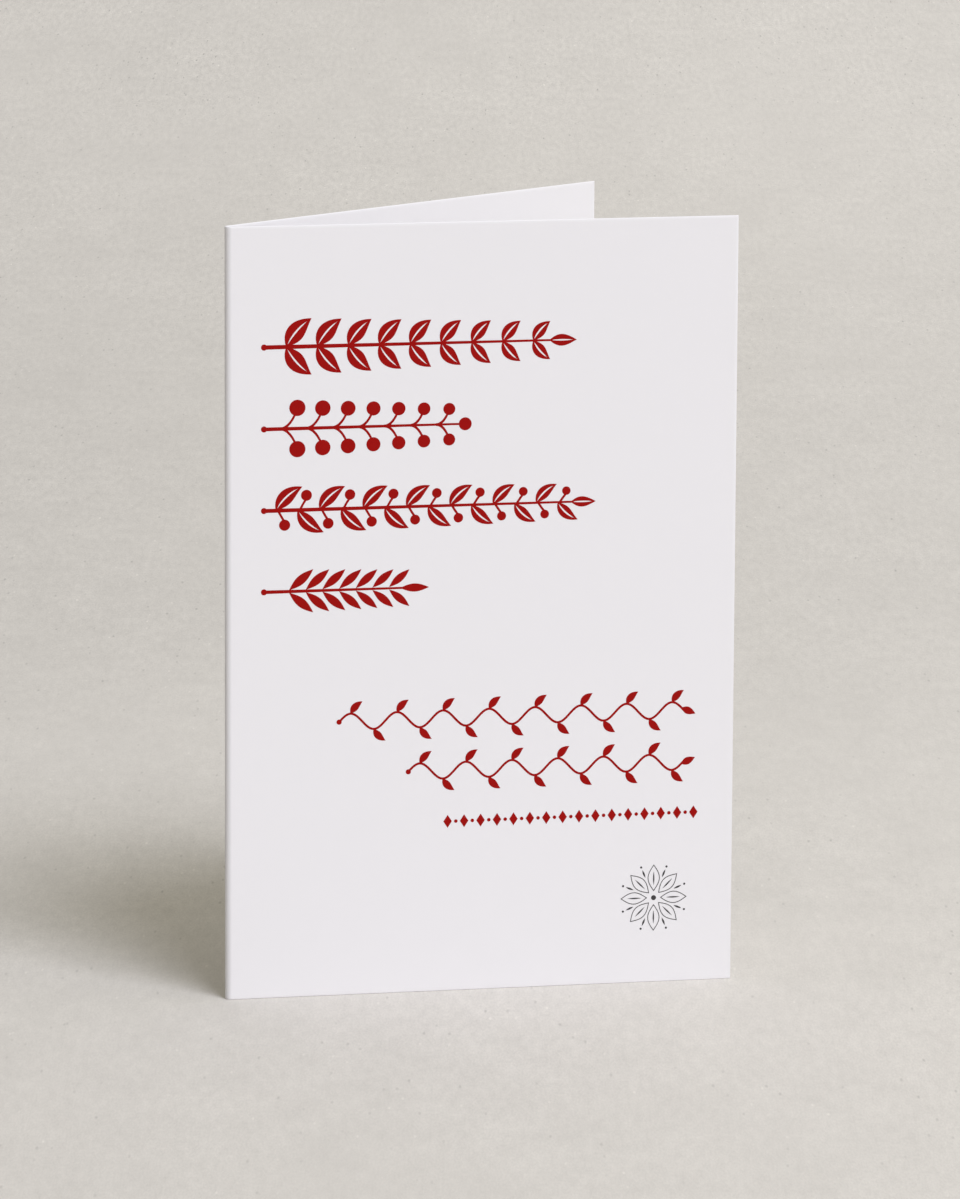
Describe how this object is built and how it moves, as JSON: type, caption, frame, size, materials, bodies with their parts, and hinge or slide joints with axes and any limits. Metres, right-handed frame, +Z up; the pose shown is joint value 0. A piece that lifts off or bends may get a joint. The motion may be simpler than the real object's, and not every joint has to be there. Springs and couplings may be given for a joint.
{
  "type": "greeting card",
  "caption": "Upright folded greeting card: one sheet of white card stock with a rounded fold at the left, standing part open on its lower edge.",
  "frame": {"origin": "on the ground, in the middle of the card's footprint", "axes": "+Z up along the fold; the front cover faces -Y with its fold at -X; the rear panel swings back towards +Y, and the card opens towards +X"},
  "size_m": [0.1016, 0.0562, 0.1524],
  "materials": {
    "card_stock": "matte"
  },
  "bodies": {
    "root": {"folded_card": "card_stock"}
  },
  "joints": []
}
